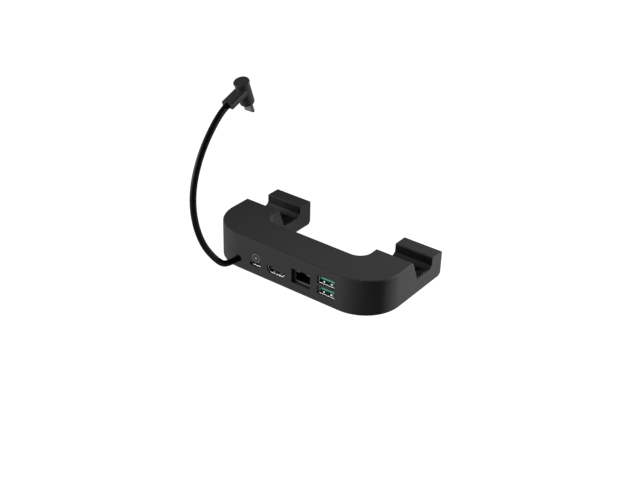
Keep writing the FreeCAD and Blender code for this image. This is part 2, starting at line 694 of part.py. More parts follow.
def data_shell():
    """One folded shell for both data sockets: a cover, and a sleeve for each that reaches forward."""
    top = data_level(1) + DATA_SLEEVE_HEIGHT / 2

    def cover(inset):
        half = STACK_WIDTH / 2 - inset
        front, back = STACK_FACE_Y + inset, STACK_FACE_Y + STACK_DEPTH - inset
        return box(DATA_X - half, DATA_X + half, front, back, BOARD_TOP_Z, top - inset)

    folded = cover(0).cut(cover(STACK_SHELL))
    long = DATA_SLEEVE_DEPTH
    sleeves, mouths, tabs = [], [], []
    for level in (0, 1):
        sleeves.append(data_block(level, DATA_FACE_Y, long, DATA_SLEEVE_WIDTH, DATA_SLEEVE_HEIGHT))
        mouths.append(data_block(level, DATA_FACE_Y, long, DATA_MOUTH_WIDTH, DATA_MOUTH_HEIGHT))
        floor = data_level(level) - DATA_MOUTH_HEIGHT / 2
        for s in (-1, 1):
            tabs.append(spring_tab(DATA_X + s * DATA_MOUTH_WIDTH / 4, DATA_FACE_Y + TAB_START, floor))
    return folded.fuse(sleeves).cut(mouths).fuse(tabs)


def data_tongue(level):
    """The insert of one data socket: a tongue under the mouth's ceiling, on a block that fills its back."""
    block_depth = DATA_SLEEVE_DEPTH * BLOCK_SHARE
    block_y = DATA_FACE_Y + DATA_SLEEVE_DEPTH - block_depth
    block = data_block(level, block_y, block_depth, DATA_MOUTH_WIDTH, DATA_MOUTH_HEIGHT)
    top = data_level(level) + DATA_MOUTH_HEIGHT / 2 - DATA_TONGUE_DROP
    wide = DATA_TONGUE_WIDTH / 2
    tongue = box(DATA_X - wide, DATA_X + wide, DATA_FACE_Y + DATA_TONGUE_SETBACK, block_y,
                 top - DATA_TONGUE_THICKNESS, top)
    return tongue.fuse(block)


def data_contacts():
    """The flat contacts under both tongues."""
    contacts = []
    y = DATA_FACE_Y + DATA_TONGUE_SETBACK
    for level in (0, 1):
        under = data_level(level) + DATA_MOUTH_HEIGHT / 2 - DATA_TONGUE_DROP - DATA_TONGUE_THICKNESS
        for i in range(DATA_CONTACT_COUNT):
            x = DATA_X + (i - (DATA_CONTACT_COUNT - 1) / 2) * DATA_CONTACT_PITCH
            half = DATA_CONTACT_WIDTH / 2
            contacts.append(box(x - half, x + half, y, y + DATA_CONTACT_LENGTH,
                                under - DATA_CONTACT_THICKNESS, under))
    return Part.makeCompound(contacts)


def on_board(x, length, width, height):
    """A block soldered to the board, in the row of chips behind the sockets."""
    low = Vector(x - length / 2, FRONT_Y + CHIP_ROW_INSET - width / 2, BOARD_TOP_Z)
    return Part.makeBox(length, width, height, low)


def square_chip(chip):
    x, size, height = chip
    return on_board(x, size, size, height)


def cable_grommet():
    """The moulded strain relief: a neck through the wall, a flange behind it and a tail."""
    way = Vector(0, 1, 0)
    neck_length = WALL + GROMMET_FLANGE_THICKNESS
    neck = Part.makeCylinder(GROMMET_NECK_D / 2, neck_length, Vector(LEAD_X, FRONT_Y, LEAD_Z), way)
    flange_at = Vector(LEAD_X, FLANGE_Y, LEAD_Z)
    flange = Part.makeCylinder(GROMMET_FLANGE_D / 2, GROMMET_FLANGE_THICKNESS, flange_at, way)
    tail_length = GROMMET_FLANGE_THICKNESS + GROMMET_TAIL_LENGTH
    tail = Part.makeCylinder(GROMMET_TAIL_D / 2, tail_length, flange_at, way)
    inside = flange.fuse(tail).common(body_form(WALL, BASE_Z))
    return neck.fuse(inside).removeSplitter()


def tube_along(points, diameter, share):
    """A round tube along straight runs joined by tangent arcs, with each arc's radius and the length."""
    nodes = [Vector(*p) for p in points]
    edges, radii = [], []
    start = nodes[0]
    for before, corner, after in zip(nodes, nodes[1:], nodes[2:]):
        back, on = before - corner, after - corner
        cut = share * min(back.Length, on.Length)
        back.normalize()
        on.normalize()
        half_turn = (math.pi - back.getAngle(on)) / 2
        radius = cut / math.tan(half_turn)
        inward = back + on
        inward.normalize()
        top = corner + inward * (radius / math.cos(half_turn) - radius)
        enter, leave = corner + back * cut, corner + on * cut
        if start.distanceToPoint(enter) > 1e-6:
            edges.append(Part.LineSegment(start, enter).toShape())
        edges.append(Part.Arc(enter, top, leave).toShape())
        radii.append(radius)
        start = leave
    edges.append(Part.LineSegment(start, nodes[-1]).toShape())
    path = Part.Wire(edges)
    way = nodes[1] - nodes[0]
    ring = Part.Wire(Part.Circle(nodes[0], way, diameter / 2).toShape())
    return path.makePipeShell([ring], True, False), radii, path.Length


def lead_tube():
    """The lead's outer jacket along its route, with its radii and a check of its volume."""
    tube, radii, length = tube_along(LEAD_ROUTE, LEAD_D, LEAD_BEND_SHARE)
    section = math.pi * LEAD_D ** 2 / 4
    print("lead length", round(length, 1), "radii", [round(r, 1) for r in radii])
    print("lead volume over section times length", round(tube.Volume / (section * length), 4))
    return tube


def lead_wires():
    """The lead's wires from the grommet's tail down to the board, side by side."""
    wires = []
    rest = BOARD_TOP_Z + WIRE_D / 2
    shelf = FRONT_Y + WALL + BOARD_CLEARANCE + BOARD_NOTCH_DEPTH
    for i in range(WIRE_COUNT):
        x = LEAD_X + (i - (WIRE_COUNT - 1) / 2) * WIRE_PITCH
        route = [(x, TAIL_END_Y, LEAD_Z), (x, (TAIL_END_Y + shelf) / 2, LEAD_Z),
                 (x, shelf + WIRE_D, rest), (x, shelf + WIRE_LANDING, rest)]
        wires.append(tube_along(route, WIRE_D, WIRE_BEND_SHARE)[0])
    return Part.makeCompound(wires)


def plug_place(shape):
    """Puts a piece, made upright with the boot's end at the origin, in line with the lead's end."""
    last_run = Vector(*LEAD_ROUTE[-1]) - Vector(*LEAD_ROUTE[-2])
    tilt = math.degrees(math.atan2(last_run.z, last_run.y))
    shape.rotate(Vector(0, 0, 0), Vector(1, 0, 0), tilt)
    shape.translate(Vector(*LEAD_ROUTE[-1]))
    return shape


def plug_overmould():
    """The plug's moulded grip: a round barrel under a wider cap, with the lead's flat boot on its side."""
    floor = -BOOT_HEIGHT_ON_BARREL
    barrel = rod(BARREL_D, BARREL_LENGTH - CAP_THICKNESS, 0, BOOT_REACH, floor)
    foot = [edge for edge in barrel.Edges if near(edge.CenterOfMass.z, floor)]
    barrel = barrel.makeFillet(BARREL_EDGE_R, foot)
    cap = rod(CAP_D, CAP_THICKNESS, 0, BOOT_REACH, floor + BARREL_LENGTH - CAP_THICKNESS)
    cap = cap.makeFillet(CAP_EDGE_R, [edge for edge in cap.Edges if near(edge.Length, math.pi * CAP_D)])
    half, thick = BOOT_WIDTH / 2, BOOT_THICKNESS / 2
    boot = box(-half, half, 0, BOOT_REACH, -thick, thick)

    def long_edge(m, p, q):
        return near(abs(m.x), half) and near(abs(m.z), thick)

    boot = boot.makeFillet(BOOT_EDGE_R, edges_where(boot, long_edge))
    return plug_place(barrel.fuse([cap, boot]).removeSplitter())


def tip_bar(width, thickness, length, top):
    """An upright bar with half-round ends that hangs below the barrel."""
    bar = stadium(width, thickness, 0, 0, 0, length)
    bar.rotate(Vector(0, 0, 0), Vector(1, 0, 0), -90)
    bar.translate(Vector(0, BOOT_REACH, top))
    return bar


def plug_shell():
    """The plug's steel tip, a drawn tube with half-round ends."""
    top = -BOOT_HEIGHT_ON_BARREL
    outer = tip_bar(TIP_WIDTH, TIP_THICKNESS, TIP_LENGTH, top)
    inner = tip_bar(TIP_WIDTH - 2 * TIP_WALL, TIP_THICKNESS - 2 * TIP_WALL, TIP_LENGTH, top)
    return plug_place(outer.cut(inner))


def plug_insulator():
    """The moulded block that closes the tip's inside below the barrel."""
    top = -BOOT_HEIGHT_ON_BARREL
    width, thick = TIP_WIDTH - 2 * TIP_WALL, TIP_THICKNESS - 2 * TIP_WALL
    return plug_place(tip_bar(width, thick, TIP_TONGUE_DEPTH, top))


def build():
    """Every piece by its node's name."""
    power_shell, power_tongue = power_socket()
    video_shell, video_tongue = video_socket()
    jack_body, jack_contacts = network_jack()
    pieces = {
        "upper_housing": upper_housing(),
        "bottom_cover": bottom_cover(),
        "cover_screws": cover_screws(),
        "cradle_liner_left": cradle_liner(-1),
        "cradle_liner_right": cradle_liner(1),
        "hook_pad_left": hook_pad(-1, LINER_CLEARANCE, LINER_THICKNESS),
        "hook_pad_right": hook_pad(1, LINER_CLEARANCE, LINER_THICKNESS),
        "mainboard": mainboard(),
        "board_screws": board_screws(),
        "power_socket_shell": power_shell,
        "power_socket_tongue": power_tongue,
        "video_socket_shell": video_shell,
        "video_socket_tongue": video_tongue,
        "network_jack_body": jack_body,
        "network_jack_contacts": jack_contacts,
        "data_socket_shell": data_shell(),
        "data_tongue_lower": data_tongue(0),
        "data_tongue_upper": data_tongue(1),
        "data_contacts": data_contacts(),
        "power_chip": square_chip(POWER_CHIP),
        "hub_chip": square_chip(HUB_CHIP),
        "video_chip": square_chip(VIDEO_CHIP),
        "memory_chip": on_board(MEMORY_CHIP_X, MEMORY_CHIP_LENGTH, MEMORY_CHIP_WIDTH, MEMORY_CHIP_HEIGHT),
        "power_coil": on_board(COIL_X, COIL_SIZE, COIL_SIZE, COIL_HEIGHT),
        "cable_grommet": cable_grommet(),
        "lead_wires": lead_wires(),
        "lead": lead_tube(),
        "plug_overmould": plug_overmould(),
        "plug_shell": plug_shell(),
        "plug_insulator": plug_insulator(),
    }
    pieces.update(feet())
    return pieces


os.makedirs("parts", exist_ok=True)
for name, shape in build().items():
    shape.exportStep(os.path.join("parts", name + ".step"))
    print(name, len(shape.Solids), round(shape.Volume, 1), shape.isValid())
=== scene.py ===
import math

import bmesh
import bpy
from mathutils import Matrix, Vector


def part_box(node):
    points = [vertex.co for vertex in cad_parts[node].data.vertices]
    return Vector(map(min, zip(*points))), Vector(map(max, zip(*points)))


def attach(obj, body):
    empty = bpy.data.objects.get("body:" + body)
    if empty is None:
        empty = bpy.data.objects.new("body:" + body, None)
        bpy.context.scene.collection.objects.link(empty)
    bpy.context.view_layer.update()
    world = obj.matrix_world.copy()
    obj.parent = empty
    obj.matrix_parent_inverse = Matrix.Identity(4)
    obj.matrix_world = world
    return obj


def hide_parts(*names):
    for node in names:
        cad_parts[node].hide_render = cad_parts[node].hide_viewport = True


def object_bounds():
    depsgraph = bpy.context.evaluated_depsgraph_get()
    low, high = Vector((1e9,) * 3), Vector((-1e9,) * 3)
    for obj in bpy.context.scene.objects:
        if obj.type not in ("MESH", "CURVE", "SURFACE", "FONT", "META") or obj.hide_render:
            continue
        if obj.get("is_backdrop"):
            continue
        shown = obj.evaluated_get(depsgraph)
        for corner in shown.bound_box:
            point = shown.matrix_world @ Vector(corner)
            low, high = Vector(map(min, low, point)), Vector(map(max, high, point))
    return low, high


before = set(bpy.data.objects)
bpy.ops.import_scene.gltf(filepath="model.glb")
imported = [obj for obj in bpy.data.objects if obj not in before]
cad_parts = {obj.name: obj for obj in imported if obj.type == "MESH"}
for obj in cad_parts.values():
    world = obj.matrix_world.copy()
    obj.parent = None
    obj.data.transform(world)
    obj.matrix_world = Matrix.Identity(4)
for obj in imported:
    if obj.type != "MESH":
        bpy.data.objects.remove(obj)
cad_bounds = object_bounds()


# The camera stands to the right of the dock's port face and looks down on it. It is placed round the
# point that it looks at, by how far round the dock it is, how high, and how it is rolled.
AIM = Vector((0.0335, -0.0499, 0.0548))
CAMERA_DISTANCE = 0.7144
CAMERA_ROUND, CAMERA_HEIGHT, CAMERA_ROLL = 35.94, 30.10, 1.77
SENSOR_WIDTH = 36.0
FOCAL_LENGTH = 62.96


def linked(name, data):
    """A new object in the scene for that data, at the origin, unturned and unscaled."""
    made = bpy.data.objects.new(name, data)
    bpy.context.scene.collection.objects.link(made)
    return made


camera = linked("camera", bpy.data.cameras.new("camera"))
camera.data.sensor_width = SENSOR_WIDTH
camera.data.lens = FOCAL_LENGTH
turned = (
    Matrix.Rotation(math.radians(CAMERA_ROUND), 4, "Z")
    @ Matrix.Rotation(math.radians(90 - CAMERA_HEIGHT), 4, "X")
    @ Matrix.Rotation(math.radians(CAMERA_ROLL), 4, "Z")
)
camera.matrix_world = Matrix.Translation(AIM) @ turned @ Matrix.Translation((0, 0, CAMERA_DISTANCE))
bpy.context.scene.camera = camera
bpy.context.scene.view_settings.view_transform = "Standard"


# The studio is a white sweep of paper, lit by one large soft box on the left and by two small ones, of
# which one is for the dock's right side and one for the plug. The room round it is nearly dark, so the
# plastic stays dark where no soft box faces it.
ROOM_LIGHT = 0.15
ROOM_MIRRORED = 0.08
FLOOR_SIZE = 6.0
FLOOR_GLOW = 1.0
FLOOR_MIRRORED = 0.2
FLOOR_SHADE = "#8f8f8f"
WHITE = (1, 1, 1, 1)


def linear(colour, share=1.0):
    """An sRGB hex colour as the linear RGBA that shaders work in, made lighter or darker by a share."""
    shares = [int(colour[i:i + 2], 16) / 255 for i in (1, 3, 5)]
    lights = [s / 12.92 if s <= 0.04045 else ((s + 0.055) / 1.055) ** 2.4 for s in shares]
    return [min(light * share, 1.0) for light in lights] + [1.0]


def add_node(tree, kind, settings=(), inputs=()):
    """Adds a node with its settings and inputs. An input is a value, or another node's output."""
    made = tree.nodes.new(kind)
    for name, value in dict(settings).items():
        setattr(made, name, value)
    for name, value in dict(inputs).items():
        if isinstance(value, bpy.types.NodeSocket):
            tree.links.new(value, made.inputs[name])
        else:
            made.inputs[name].default_value = value
    return made


def soft_lamp(name, aim, turn, rise, distance, width, tall, spread, power):
    """A soft box that faces its aim. It stands round it by a turn from +X and a rise, in degrees."""
    lamp = linked(name, bpy.data.lights.new(name, "AREA"))
    lamp.data.shape = "RECTANGLE"
    lamp.data.size = width
    lamp.data.size_y = tall
    lamp.data.spread = math.radians(spread)
    lamp.data.energy = power
    turn, rise = math.radians(turn), math.radians(rise)
    way = Vector((math.cos(turn) * math.cos(rise), math.sin(turn) * math.cos(rise), math.sin(rise)))
    lamp.location = Vector(aim) + way * distance
    lamp.rotation_euler = way.to_track_quat("Z", "Y").to_euler()


def seen_by(tree):
    """Whether the camera looks straight at a point, and whether it sees it in a mirror or through glass."""
    path = add_node(tree, "ShaderNodeLightPath")
    mirrored = add_node(tree, "ShaderNodeMath", {"operation": "MAXIMUM"}, {
        0: path.outputs["Is Glossy Ray"], 1: path.outputs["Is Transmission Ray"],
    })
    return path.outputs["Is Camera Ray"], mirrored.outputs[0]


soft_lamp("left_lamp", aim=(0, -0.03, 0.01), turn=-144, rise=10, distance=1.8,
          width=1.3, tall=0.8, spread=180, power=38.0)
soft_lamp("right_lamp", aim=(0.0725, 0, 0.012), turn=58, rise=13, distance=0.8,
          width=0.12, tall=0.12, spread=22, power=0.215)
soft_lamp("plug_lamp", aim=(-0.050, -0.036, 0.132), turn=50, rise=11, distance=0.8,
          width=0.03, tall=0.03, spread=6, power=0.0045)

world = bpy.data.worlds.new("studio")
bpy.context.scene.world = world
world.use_nodes = True
tree = world.node_tree
tree.nodes.clear()
straight, mirrored = seen_by(tree)
lit = add_node(tree, "ShaderNodeMix", {"data_type": "FLOAT"}, {
    "Factor": mirrored, "A": ROOM_LIGHT, "B": ROOM_MIRRORED,
})
strength = add_node(tree, "ShaderNodeMix", {"data_type": "FLOAT"}, {
    "Factor": straight, "A": lit.outputs[0], "B": FLOOR_GLOW,
})
sky = add_node(tree, "ShaderNodeBackground", {}, {"Color": WHITE, "Strength": strength.outputs[0]})
add_node(tree, "ShaderNodeOutputWorld", {}, {"Surface": sky.outputs[0]})

bpy.ops.mesh.primitive_plane_add(size=FLOOR_SIZE, location=(0, 0, 0))
floor = bpy.context.object
floor.name = "floor"
paper = bpy.data.materials.new("white_paper")
paper.use_nodes = True
tree = paper.node_tree
tree.nodes.clear()
straight, mirrored = seen_by(tree)
shown = add_node(tree, "ShaderNodeMath", {"operation": "MULTIPLY"}, {0: mirrored, 1: FLOOR_MIRRORED})
glow = add_node(tree, "ShaderNodeMath", {"operation": "MULTIPLY_ADD"}, {
    0: straight, 1: FLOOR_GLOW, 2: shown.outputs[0],
})
white = add_node(tree, "ShaderNodeEmission", {}, {"Color": WHITE, "Strength": glow.outputs[0]})
shade = add_node(tree, "ShaderNodeBsdfDiffuse", {}, {"Color": linear(FLOOR_SHADE)})
both = add_node(tree, "ShaderNodeAddShader", {}, {0: white.outputs[0], 1: shade.outputs[0]})
add_node(tree, "ShaderNodeOutputMaterial", {}, {"Surface": both.outputs[0]})
floor.data.materials.append(paper)
floor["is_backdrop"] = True


# The captive lead is a short, stiff round cable in a satin black elastomer jacket. It leaves the port
# face through the grommet and stands up in one arc to the plug. It throws no shadow, so that the port
# face beside its grommet is as evenly lit as the rest.
LEAD_DIAMETER = 0.0045
LEAD_ROUTE = [
    (-0.0428, -0.0410, 0.0082),
    (-0.0428, -0.0504, 0.0082),
    (-0.0426, -0.0611, 0.0129),
    (-0.0421, -0.0807, 0.0392),
    (-0.0476, -0.0820, 0.0670),
    (-0.0489, -0.0725, 0.0947),
    (-0.0515, -0.0492, 0.1174),
    (-0.0515, -0.0400, 0.1208),
]
JACKET_GRAIN = 0.0006
JACKET_RELIEF = 0.00005


def new_finish(name, inputs):
    """A new material, its tree, its shader with those inputs, and the place on the piece for patterns."""
    material = bpy.data.materials.new(name)
    material.use_nodes = True
    tree = material.node_tree
    skin = tree.nodes["Principled BSDF"]
    for socket, value in inputs.items():
        skin.inputs[socket].default_value = value
    place = add_node(tree, "ShaderNodeTexCoord").outputs["Object"]
    return material, tree, skin, place


def jacket_elastomer():
    """Extruded elastomer: a satin black skin, faintly uneven where it was drawn through the die."""
    material, tree, skin, place = new_finish("jacket_elastomer", {
        "Base Color": linear("#111111"), "Roughness": 0.45, "IOR": 1.45, "Specular IOR Level": 0.2,
    })
    grain = add_node(tree, "ShaderNodeTexNoise", {}, {
        "Vector": place, "Scale": 1 / JACKET_GRAIN, "Detail": 3.0,
    })
    bump = add_node(tree, "ShaderNodeBump", {}, {
        "Strength": 0.25, "Distance": JACKET_RELIEF, "Height": grain.outputs[0],
    })
    tree.links.new(bump.outputs[0], skin.inputs["Normal"])
    return material


route = bpy.data.curves.new("captive_lead", "CURVE")
route.dimensions = "3D"
route.bevel_depth = LEAD_DIAMETER / 2
route.bevel_resolution = 6
route.resolution_u = 16
route.use_fill_caps = True
spline = route.splines.new("NURBS")
spline.points.add(len(LEAD_ROUTE) - 1)
for point, place in zip(spline.points, LEAD_ROUTE):
    point.co = (*place, 1.0)
spline.order_u = 3
spline.use_endpoint_u = True
lead = linked("captive_lead", route)
lead.visible_shadow = False
route.materials.append(jacket_elastomer())
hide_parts("lead")
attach(lead, "root")


# The housing is one ABS moulding, open below, with the port holes, the cradle slots and the hooks. The
# mould was spark eroded to a fine matte grain, which blurs what the plastic mirrors. The grain is drawn
# a few times wider than it is, so that it shows.
MOULD_GRAIN = 0.00028
MOULD_CLOUD = 0.03
HOUSING_EDGE = 0.0002
WELD = 1e-6
FLAT_WITHIN = math.radians(0.5)
SHARP_FROM = math.radians(28)


def grained_abs(name, colour, roughness, grain=MOULD_GRAIN):
    """Moulded ABS: a dark matte skin with an even grain, a little worn and cloudy over its length."""
    material, tree, skin, place = new_finish(name, {"IOR": 1.5, "Specular IOR Level": 0.25})
    cloud = add_node(tree, "ShaderNodeTexNoise", {}, {
        "Vector": place, "Scale": 1 / MOULD_CLOUD, "Detail": 4.0,
    })
    tint = add_node(tree, "ShaderNodeMix", {"data_type": "RGBA"}, {
        "Factor": cloud.outputs[0], "A": linear(colour, 0.93), "B": linear(colour, 1.07),
    })
    tree.links.new(tint.outputs[2], skin.inputs["Base Color"])
    pits = add_node(tree, "ShaderNodeTexVoronoi", {"feature": "SMOOTH_F1"}, {
        "Vector": place, "Scale": 1 / grain,
    })
    sheen = add_node(tree, "ShaderNodeMapRange", {}, {
        "Value": pits.outputs["Distance"], "To Min": roughness - 0.05, "To Max": roughness + 0.07,
    })
    tree.links.new(sheen.outputs[0], skin.inputs["Roughness"])
    bump = add_node(tree, "ShaderNodeBump", {}, {
        "Strength": 0.35, "Distance": grain / 8, "Height": pits.outputs["Distance"],
    })
    tree.links.new(bump.outputs[0], skin.inputs["Normal"])
    return material


def softened(node, name, edge, material, form=None):
    """A welded copy of a solid, its sharp edges broken by a small radius as a mould or press leaves them.

    Where a form is given, it stands for the solid, and is finished in the same way.
    """
    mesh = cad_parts[node].data.copy()
    mesh.name = name
    if form is None:
        form = bmesh.new()
        form.from_mesh(mesh)
        bmesh.ops.remove_doubles(form, verts=form.verts, dist=WELD)
    bmesh.ops.dissolve_limit(form, angle_limit=FLAT_WITHIN, verts=form.verts, edges=form.edges)
    form.to_mesh(mesh)
    form.free()
    mesh.materials.clear()
    mesh.materials.append(material)
    mesh.shade_smooth()
    piece = linked(name, mesh)
    bevel = piece.modifiers.new("broken_edge", "BEVEL")
    bevel.width = edge
    bevel.segments = 2
    bevel.limit_method = "ANGLE"
    bevel.angle_limit = SHARP_FROM
    piece.modifiers.new("flat_faces", "WEIGHTED_NORMAL").weight = 100
    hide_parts(node)
    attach(piece, "root")
    return piece


housing_abs = grained_abs("grained_abs_housing", colour="#3a3a3a", roughness=0.8)
softened("upper_housing", "moulded_housing", HOUSING_EDGE, housing_abs)


# The mark over the power socket is a thin ring round a dot. It is pad printed in light grey ink, straight
# on the grained plastic of the port face.
MARK_AT = Vector((-0.0270, 0, 0.01385))
MARK_OUTER, MARK_LINE, MARK_DOT = 0.0063, 0.00032, 0.0019
MARK_SIDES = 96
INK_THICKNESS = 0.00003


def printing_ink():
    """Pad printing ink: a thin, even film, a little rough, that lets the grain under it show."""
    material, tree, film, place = new_finish("grey_printing_ink", {
        "Roughness": 0.6, "Specular IOR Level": 0.3,
    })
    grain = add_node(tree, "ShaderNodeTexNoise", {}, {
        "Vector": place, "Scale": 1 / MOULD_GRAIN, "Detail": 2.0,
    })
    tone = add_node(tree, "ShaderNodeMix", {"data_type": "RGBA"}, {
        "Factor": grain.outputs[0], "A": linear("#888888"), "B": linear("#a4a4a4"),
    })
    tree.links.new(tone.outputs[2], film.inputs["Base Color"])
    return material


def mesh_of(form, name):
    """The mesh of a closed form, its faces turned outwards."""
    bmesh.ops.recalc_face_normals(form, faces=form.faces)
    mesh = bpy.data.meshes.new(name)
    form.to_mesh(mesh)
    form.free()
    return mesh


def ring_and_dot():
    """The film of ink, from the port face outwards."""
    form = bmesh.new()
    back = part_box("upper_housing")[0][1]
    front = back - INK_THICKNESS
    turns = [2 * math.pi * i / MARK_SIDES for i in range(MARK_SIDES)]

    def loop(radius, y):
        return [
            form.verts.new((MARK_AT.x + radius * math.cos(t), y, MARK_AT.z + radius * math.sin(t)))
            for t in turns
        ]

    def band(first, second):
        for i in range(MARK_SIDES):
            j = (i + 1) % MARK_SIDES
            form.faces.new((first[i], first[j], second[j], second[i]))

    outer = MARK_OUTER / 2
    inner = outer - MARK_LINE
    corners = ((outer, back), (outer, front), (inner, front), (inner, back))
    rings = [loop(radius, y) for radius, y in corners]
    for first, second in zip(rings, rings[1:] + rings[:1]):
        band(first, second)
    dot_back, dot_front = loop(MARK_DOT / 2, back), loop(MARK_DOT / 2, front)
    band(dot_back, dot_front)
    form.faces.new(dot_front)
    form.faces.new(dot_back)
    return form


mark = linked("port_mark", mesh_of(ring_and_dot(), "port_mark"))
mark.data.materials.append(printing_ink())
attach(mark, "root")


# The cradle liners and the hook pads are moulded in deep black silicone rubber. Each has a core, which is
# glued into its recess, and a thin lip, which lies over the plastic nearly to the arm's sides. A section
# is three lines of places along Y and Z: the rubber's front, the plastic's face and the recess's floor.
LINER_SECTION = (
    ((0.00459, 0.0251), (0.00997, 0.0120), (0.0232, 0.0120)),
    ((0.00416, 0.0251), (0.00970, 0.0116), (0.0232, 0.0116)),
    ((0.00330, 0.0251), (0.00916, 0.0108), (0.0232, 0.0108)),
)
PAD_SECTION = (
    ((0.0279, 0.0195), (0.0279, 0.0132)),
    ((0.0283, 0.0195), (0.0283, 0.0132)),
    ((0.0291, 0.0189), (0.0291, 0.01458)),
)
LINER_LIP = 0.0014
PAD_LIP = 0.0027
LIP_EDGE = 0.00015
LINT = 0.0015
LINT_RELIEF = 0.00005


def silicone_rubber(name, colour, roughness):
    """Moulded silicone: deep black, dull, with a fine dust of lint that lifts its tone in places."""
    material, tree, skin, place = new_finish(name, {
        "IOR": 1.41, "Specular IOR Level": 0.3, "Roughness": roughness,
    })
    dust = add_node(tree, "ShaderNodeTexNoise", {}, {
        "Vector": place, "Scale": 1 / LINT, "Detail": 6.0, "Roughness": 0.65,
    })
    tone = add_node(tree, "ShaderNodeMapRange", {}, {
        "Value": dust.outputs[0], "From Min": 0.45, "From Max": 0.8,
    })
    tint = add_node(tree, "ShaderNodeMix", {"data_type": "RGBA"}, {
        "Factor": tone.outputs[0], "A": linear(colour), "B": linear(colour, 1.5),
    })
    tree.links.new(tint.outputs[2], skin.inputs["Base Color"])
    bump = add_node(tree, "ShaderNodeBump", {}, {
        "Strength": 0.2, "Distance": LINT_RELIEF, "Height": dust.outputs[0],
    })
    tree.links.new(bump.outputs[0], skin.inputs["Normal"])
    return material


def lipped(node, section, lip):
    """A closed form with that section: its core is as wide as its node, its lip is wider on each side."""
    low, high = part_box(node)
    across = (low[0] - lip, low[0], high[0], high[0] + lip)
    last = len(section[0]) - 1
    form = bmesh.new()
    made = {}

    def quad(*corners):
        for column, place, line in corners:
            if (column, place, line) not in made:
                made[column, place, line] = form.verts.new((across[column], *section[line][place]))
        form.faces.new([made[corner] for corner in corners])

    for place in range(last):
        after = place + 1
        for column, back in ((0, 1), (1, 2), (2, 1)):
            for line in (0, back):
                quad((column, place, line), (column + 1, place, line),
                     (column + 1, after, line), (column, after, line))
        for column, line in ((0, 0), (1, 1), (2, 1), (3, 0)):
            quad((column, place, line), (column, after, line),
                 (column, after, line + 1), (column, place, line + 1))
    for place in (0, last):
        for column, line in ((0, 0), (1, 0), (2, 0), (1, 1)):
            quad((column, place, line), (column + 1, place, line),
                 (column + 1, place, line + 1), (column, place, line + 1))
    bmesh.ops.recalc_face_normals(form, faces=form.faces)
    return form


liner_silicone = silicone_rubber("silicone_liner", colour="#101010", roughness=0.6)
for side in ("left", "right"):
    for solid, rubber, section, lip in (
        ("cradle_liner_", "silicone_liner_", LINER_SECTION, LINER_LIP),
        ("hook_pad_", "silicone_pad_", PAD_SECTION, PAD_LIP),
    ):
        form = lipped(solid + side, section, lip)
        softened(solid + side, rubber + side, LIP_EDGE, liner_silicone, form)


# The cover closes the housing from below. It is moulded in the same ABS, a little darker and smoother,
# sits in a rebate and is held by screws.
cover_abs = grained_abs("grained_abs_cover", colour="#2b2b2b", roughness=0.6)
softened("bottom_cover", "moulded_cover", HOUSING_EDGE, cover_abs)


# The feet are pads of dull black rubber, die-cut from sheet and glued into shallow recesses in the cover.
# The blade leaves their edges a little round.
FOOT_EDGE = 0.00025

foot_rubber = silicone_rubber("die_cut_rubber", colour="#1b1b1b", roughness=0.7)
for corner in ("front_left", "front_right", "rear_left", "rear_right"):
    softened("foot_" + corner, "pad_" + corner, FOOT_EDGE, foot_rubber)


# The socket shells are drawn and folded from thin steel and plated with bright nickel. They are soldered
# to the board, and the inner rims of their mouths are rounded, which leads the plug in.
SHELL_EDGE = 0.00006
MOUTH_RADIUS = 0.0003
ROLLED_LINE = 0.0002


def bright_nickel(name, colour, roughness):
    """Nickel-plated steel: a hard mirror, dulled by fine lines along the way that the strip was rolled.

    The lines are drawn wider than they are, so that they show.
    """
    material, tree, skin, place = new_finish(name, {"Metallic": 1.0, "Base Color": linear(colour)})
    rolled = add_node(tree, "ShaderNodeMapping", {}, {"Vector": place, "Scale": (0.1, 1.0, 1.0)})
    lines = add_node(tree, "ShaderNodeTexNoise", {}, {
        "Vector": rolled.outputs[0], "Scale": 1 / ROLLED_LINE,
    })
    dull = add_node(tree, "ShaderNodeMapRange", {}, {
        "Value": lines.outputs[0], "To Min": roughness * 0.6, "To Max": roughness * 1.4,
    })
    tree.links.new(dull.outputs[0], skin.inputs["Roughness"])
    return material


def front_edges(form):
    """The edges in a form's foremost plane."""
    front = min(v.co.y for v in form.verts)
    return [e for e in form.edges if all(abs(v.co.y - front) < WELD for v in e.verts)]


def round_mouths(piece, fillings):
    """Rounds the inner rim of each mouth. A filling is a node that fills a mouth."""
    centres = [(Vector(low) + Vector(high)) / 2 for low, high in map(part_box, fillings)]
    form = bmesh.new()
    form.from_mesh(piece.data)
    rim = []
    for edge in front_edges(form):
        walls = [f for f in edge.link_faces if abs(f.normal.y) < 0.5]
        if len(walls) == 1:
            middle = (edge.verts[0].co + edge.verts[1].co) / 2
            centre = min(centres, key=lambda c: abs(c.z - middle.z))
            if walls[0].normal.dot(middle - centre) < 0:
                rim.append(edge)
    bmesh.ops.bevel(form, geom=rim, offset=MOUTH_RADIUS, segments=4, profile=0.5, affect="EDGES")
    form.to_mesh(piece.data)
    form.free()
    piece.data.shade_smooth()


nickel = bright_nickel("nickel_plated_steel", colour="#e8e7e4", roughness=0.4)
for socket, fillings in (
    ("power", ["power_socket_tongue"]),
    ("video", ["video_socket_tongue"]),
    ("data", ["data_tongue_lower", "data_tongue_upper"]),
):
    shell = softened(socket + "_socket_shell", socket + "_shell", SHELL_EDGE, nickel)
    round_mouths(shell, fillings)


